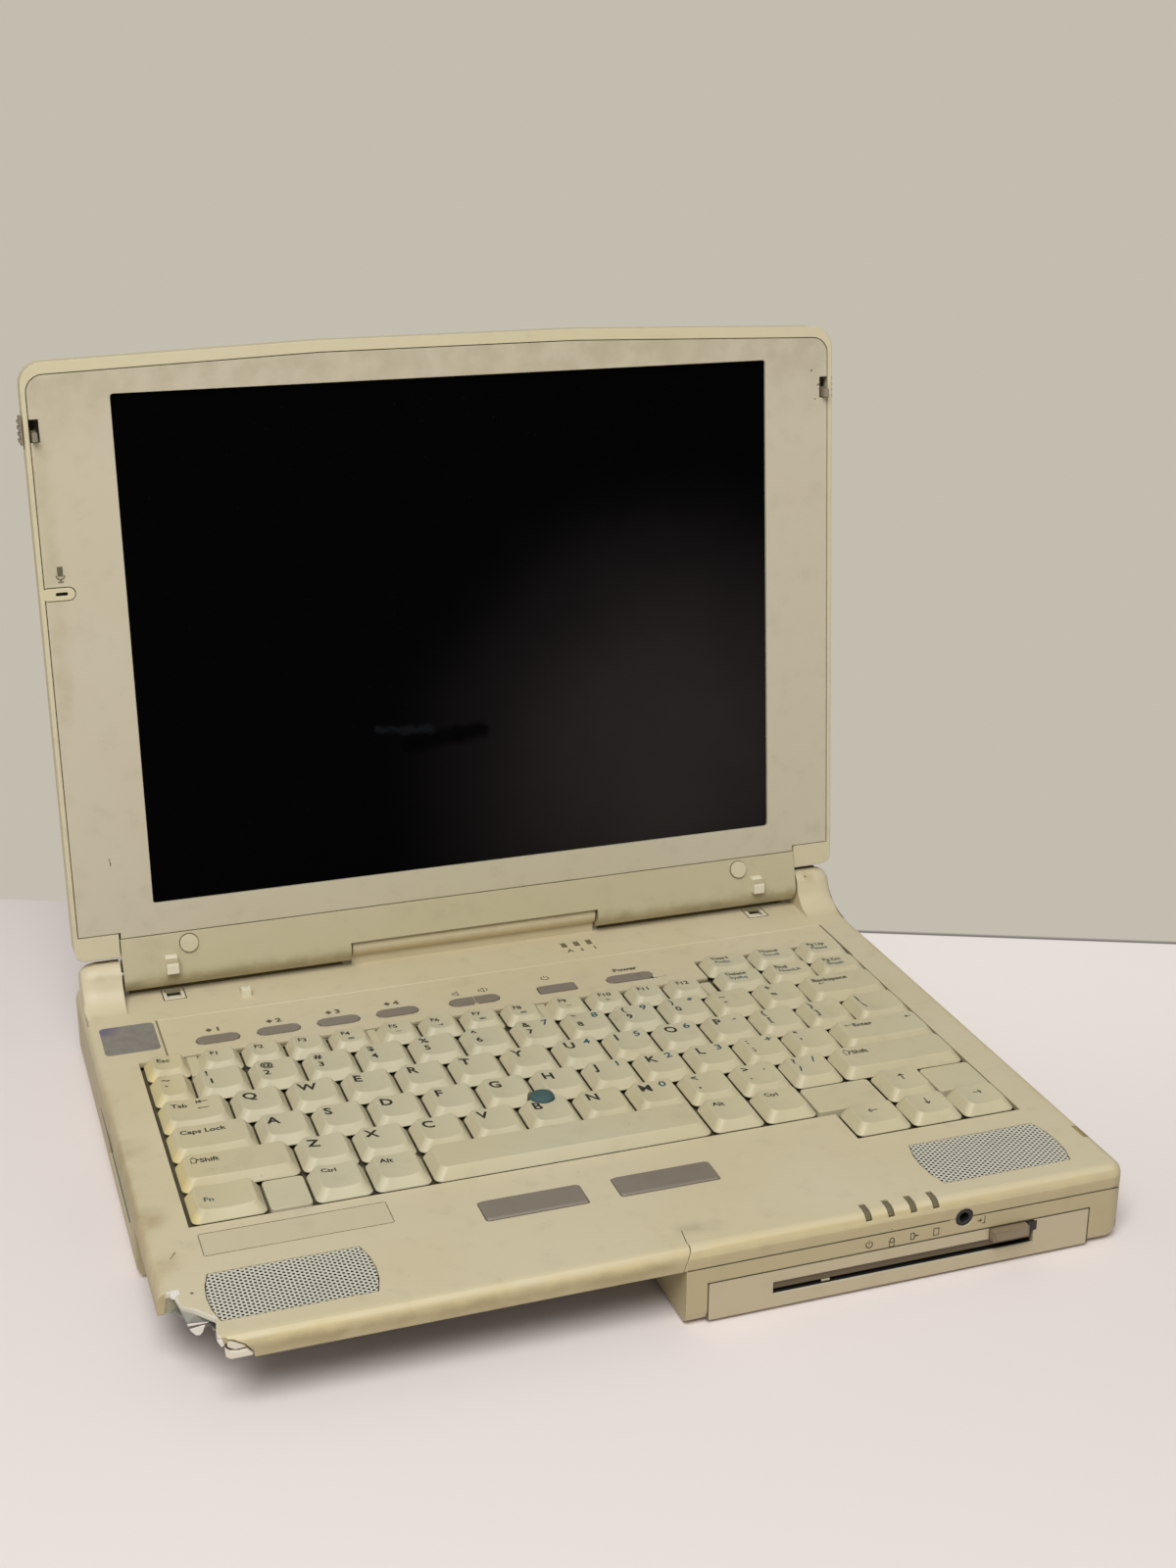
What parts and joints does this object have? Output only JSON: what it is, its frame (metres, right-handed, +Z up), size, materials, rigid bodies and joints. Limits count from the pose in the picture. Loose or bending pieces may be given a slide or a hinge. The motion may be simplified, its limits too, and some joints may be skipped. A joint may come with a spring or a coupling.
{
  "type": "broken laptop computer",
  "caption": "Worn cream notebook computer standing open with a dead black screen, full keyboard and pointing stick; front left corner broken away and battery bay empty.",
  "frame": {"origin": "bottom centre of the overall box, on the plane of the feet", "axes": "+X to the user's right, +Y from the user towards the lid, +Z up"},
  "size_m": [0.3092, 0.2648, 0.2636],
  "materials": {
    "shell": "cream ABS, yellowed at the edges, worn and dirty",
    "bezel": "greyer cream ABS, fine grain",
    "keycap": "pale cream ABS, yellowed on the sides",
    "button": "taupe grey, slightly polished by use",
    "stick": "teal rubber, stippled",
    "screen": "dead black panel with a soft sheen and smudges",
    "grille": "pale grey, perforated",
    "liner": "grey conductive coat, torn",
    "dark_plastic": "black moulding",
    "board": "green circuit board",
    "steel": "bare zinc-plated sheet",
    "foot": "black rubber, dusty",
    "lens": "smoky clear plastic, unlit",
    "fracture": "fresh whitish break in the plastic",
    "legend": "printed dark grey",
    "foil": "blank stuck-on foil"
  },
  "bodies": {
    "base": {"top_cover": "shell", "bottom_case": "shell", "bay_liner": "liner", "keyboard": "keycap", "pointing_stick": "stick", "switch_panel": "shell", "speaker_grille_left": "grille", "speaker_left": "dark_plastic", "base_hinge_bracket_left": "steel", "speaker_grille_right": "grille", "speaker_right": "dark_plastic", "base_hinge_bracket_right": "steel", "status_light_pipe": "lens", "lock_light_pipe": "lens", "headphone_jack": "dark_plastic", "floppy_drive": "steel", "floppy_bezel": "shell", "pc_card_cage": "steel", "main_board": "board", "hard_drive": "steel", "battery_contacts": "dark_plastic", "memory_cover": "shell", "power_inlet": "dark_plastic", "monitor_port": "dark_plastic", "printer_port": "dark_plastic", "serial_port": "dark_plastic", "mouse_port": "dark_plastic", "foot_rear_left": "foot", "foot_rear_right": "foot", "foot_front_right": "foot", "foot_front_middle": "foot"},
    "lid": {"lid_back_cover": "shell", "screen_bezel": "bezel", "lid_hinge_cover": "shell", "lcd_panel": "screen", "microphone": "dark_plastic", "screw_cover_left": "shell", "screw_cover_right": "shell", "lid_hinge_bracket_left": "steel", "lid_hinge_bracket_right": "steel"},
    "latch_left": {"latch_left": "button"},
    "latch_right": {"latch_right": "button"},
    "click_button_left": {"click_button_left": "button"},
    "click_button_right": {"click_button_right": "button"},
    "quick_button_1": {"quick_button_1": "button"},
    "quick_button_2": {"quick_button_2": "button"},
    "quick_button_3": {"quick_button_3": "button"},
    "quick_button_4": {"quick_button_4": "button"},
    "volume_down": {"volume_down": "button"},
    "volume_up": {"volume_up": "button"},
    "suspend_button": {"suspend_button": "button"},
    "power_switch": {"power_switch": "button"},
    "floppy_eject_button": {"floppy_eject_button": "button"},
    "space_bar": {"space_bar": "keycap"},
    "tab_key": {"tab_key": "keycap"},
    "caps_lock_key": {"caps_lock_key": "keycap"},
    "left_shift_key": {"left_shift_key": "keycap"},
    "right_shift_key": {"right_shift_key": "keycap"},
    "enter_key": {"enter_key": "keycap"},
    "backspace_key": {"backspace_key": "keycap"}
  },
  "joints": [
    {"name": "lid_hinge", "type": "hinge", "parent": "base", "child": "lid", "pos_m": [0, 0.09749, 0.0356], "axis": [-1, 0, 0], "range_deg": [-95.5, 34]},
    {"name": "latch_left_slide", "type": "slide", "parent": "lid", "child": "latch_left", "axis": [0, 0.0993, 0.9951], "range_m": [0, 0.004], "stiffness_N_per_m": 200, "springref_m": -0.002},
    {"name": "latch_right_slide", "type": "slide", "parent": "lid", "child": "latch_right", "axis": [0, 0.0993, 0.9951], "range_m": [0, 0.004], "stiffness_N_per_m": 200, "springref_m": -0.002},
    {"name": "click_button_left_slide", "type": "slide", "parent": "base", "child": "click_button_left", "axis": [0, 0, -1], "range_m": [0, 0.0008], "stiffness_N_per_m": 900, "springref_m": -0.0004},
    {"name": "click_button_right_slide", "type": "slide", "parent": "base", "child": "click_button_right", "axis": [0, 0, -1], "range_m": [0, 0.0008], "stiffness_N_per_m": 900, "springref_m": -0.0004},
    {"name": "quick_button_1_slide", "type": "slide", "parent": "base", "child": "quick_button_1", "axis": [0, 0, -1], "range_m": [0, 0.0008], "stiffness_N_per_m": 900, "springref_m": -0.0004},
    {"name": "quick_button_2_slide", "type": "slide", "parent": "base", "child": "quick_button_2", "axis": [0, 0, -1], "range_m": [0, 0.0008], "stiffness_N_per_m": 900, "springref_m": -0.0004},
    {"name": "quick_button_3_slide", "type": "slide", "parent": "base", "child": "quick_button_3", "axis": [0, 0, -1], "range_m": [0, 0.0008], "stiffness_N_per_m": 900, "springref_m": -0.0004},
    {"name": "quick_button_4_slide", "type": "slide", "parent": "base", "child": "quick_button_4", "axis": [0, 0, -1], "range_m": [0, 0.0008], "stiffness_N_per_m": 900, "springref_m": -0.0004},
    {"name": "volume_down_slide", "type": "slide", "parent": "base", "child": "volume_down", "axis": [0, 0, -1], "range_m": [0, 0.0008], "stiffness_N_per_m": 900, "springref_m": -0.0004},
    {"name": "volume_up_slide", "type": "slide", "parent": "base", "child": "volume_up", "axis": [0, 0, -1], "range_m": [0, 0.0008], "stiffness_N_per_m": 900, "springref_m": -0.0004},
    {"name": "suspend_button_slide", "type": "slide", "parent": "base", "child": "suspend_button", "axis": [0, 0, -1], "range_m": [0, 0.0008], "stiffness_N_per_m": 900, "springref_m": -0.0004},
    {"name": "power_switch_slide", "type": "slide", "parent": "base", "child": "power_switch", "axis": [1, 0, 0], "range_m": [0, 0.0034], "stiffness_N_per_m": 250, "springref_m": -0.0017},
    {"name": "floppy_eject_button_slide", "type": "slide", "parent": "base", "child": "floppy_eject_button", "axis": [0, 1, 0], "range_m": [0, 0.004], "stiffness_N_per_m": 300, "springref_m": -0.002},
    {"name": "space_bar_slide", "type": "slide", "parent": "base", "child": "space_bar", "axis": [0, 0, -1], "range_m": [0, 0.002], "stiffness_N_per_m": 250, "springref_m": -0.001},
    {"name": "tab_key_slide", "type": "slide", "parent": "base", "child": "tab_key", "axis": [0, 0, -1], "range_m": [0, 0.002], "stiffness_N_per_m": 250, "springref_m": -0.001},
    {"name": "caps_lock_key_slide", "type": "slide", "parent": "base", "child": "caps_lock_key", "axis": [0, 0, -1], "range_m": [0, 0.002], "stiffness_N_per_m": 250, "springref_m": -0.001},
    {"name": "left_shift_key_slide", "type": "slide", "parent": "base", "child": "left_shift_key", "axis": [0, 0, -1], "range_m": [0, 0.002], "stiffness_N_per_m": 250, "springref_m": -0.001},
    {"name": "right_shift_key_slide", "type": "slide", "parent": "base", "child": "right_shift_key", "axis": [0, 0, -1], "range_m": [0, 0.002], "stiffness_N_per_m": 250, "springref_m": -0.001},
    {"name": "enter_key_slide", "type": "slide", "parent": "base", "child": "enter_key", "axis": [0, 0, -1], "range_m": [0, 0.002], "stiffness_N_per_m": 250, "springref_m": -0.001},
    {"name": "backspace_key_slide", "type": "slide", "parent": "base", "child": "backspace_key", "axis": [0, 0, -1], "range_m": [0, 0.002], "stiffness_N_per_m": 250, "springref_m": -0.001}
  ]
}
